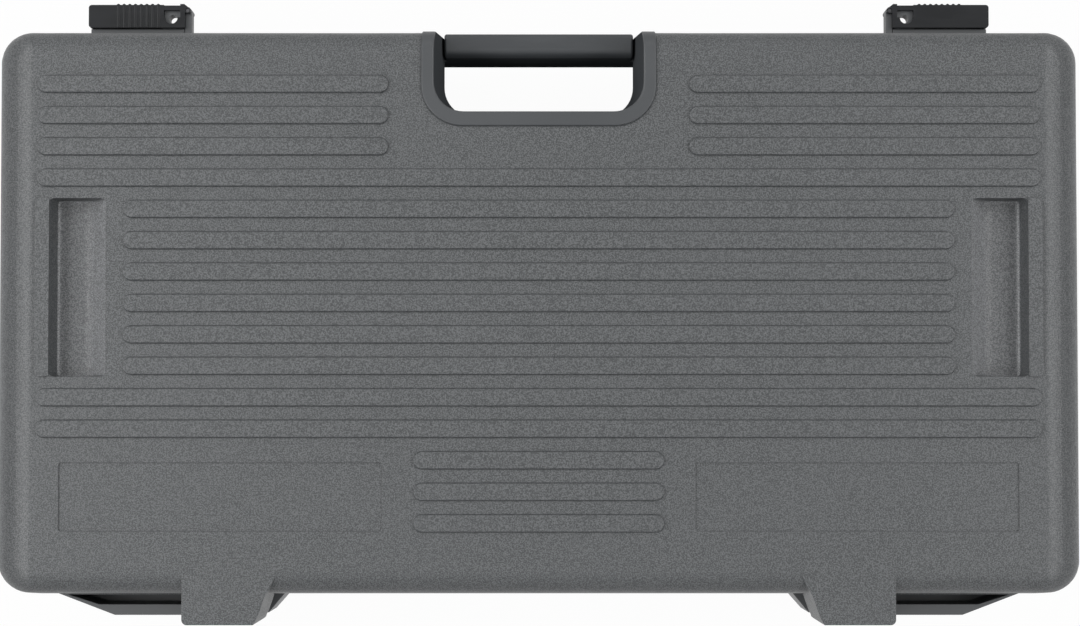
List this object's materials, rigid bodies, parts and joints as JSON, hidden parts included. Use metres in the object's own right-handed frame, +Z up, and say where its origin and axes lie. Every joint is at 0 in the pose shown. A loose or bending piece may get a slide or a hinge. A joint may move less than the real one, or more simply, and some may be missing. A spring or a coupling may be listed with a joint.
{
  "type": "pedal case",
  "caption": "Moulded carry case for effect pedals: ribbed lift-off hinged lid, handle through the front edge, swing latches, foam bed with pedal pockets.",
  "frame": {"origin": "on the floor under the middle of the overall box", "axes": "+Z up with the case lying closed, -Y towards the handle and latches, +Y towards the hinge, +X along the case to its left as seen from the hinge"},
  "size_m": [0.698, 0.405, 0.134],
  "materials": {
    "case_plastic": "grey moulded plastic with a fine sand grain",
    "grip_plastic": "smooth satin grey plastic",
    "latch_plastic": "smooth black plastic",
    "rod_steel": "plated steel",
    "screw_steel": "zinc-plated",
    "foot_rubber": "matte black rubber",
    "foam": "black open-cell foam"
  },
  "bodies": {
    "tray": {"base_shell": "case_plastic", "handle_grip": "grip_plastic", "handle_screws": "screw_steel", "rubber_feet": "foot_rubber", "latch_pin_left": "rod_steel", "latch_pin_right": "rod_steel", "bed_sheet": "foam", "rear_strip": "foam", "mid_rail": "foam", "end_block_left": "foam", "end_block_right": "foam", "divider_1": "foam", "divider_2": "foam", "divider_3": "foam", "divider_4": "foam", "divider_5": "foam", "front_frame_left": "foam", "front_frame_right": "foam", "centre_block": "foam"},
    "hinge_rods": {"hinge_rod_left": "rod_steel", "hinge_rod_right": "rod_steel"},
    "lid": {"lid_shell": "case_plastic", "lid_liner": "foam"},
    "latch_left": {"latch_lever_left": "latch_plastic"},
    "latch_right": {"latch_lever_right": "latch_plastic"}
  },
  "joints": [
    {"name": "lid_lift_off", "type": "slide", "parent": "tray", "child": "hinge_rods", "axis": [0, 0, 1], "range_m": [0, 0.06]},
    {"name": "lid_hinge", "type": "hinge", "parent": "hinge_rods", "child": "lid", "pos_m": [0, 0.1937, 0.072], "axis": [-1, 0, 0], "range_deg": [0, 105]},
    {"name": "latch_left_swing", "type": "hinge", "parent": "tray", "child": "latch_left", "pos_m": [0.2315, -0.1983, 0.086], "axis": [0, 0, -1], "range_deg": [0, 110]},
    {"name": "latch_right_swing", "type": "hinge", "parent": "tray", "child": "latch_right", "pos_m": [-0.2315, -0.1983, 0.086], "axis": [0, 0, 1], "range_deg": [0, 110]}
  ]
}
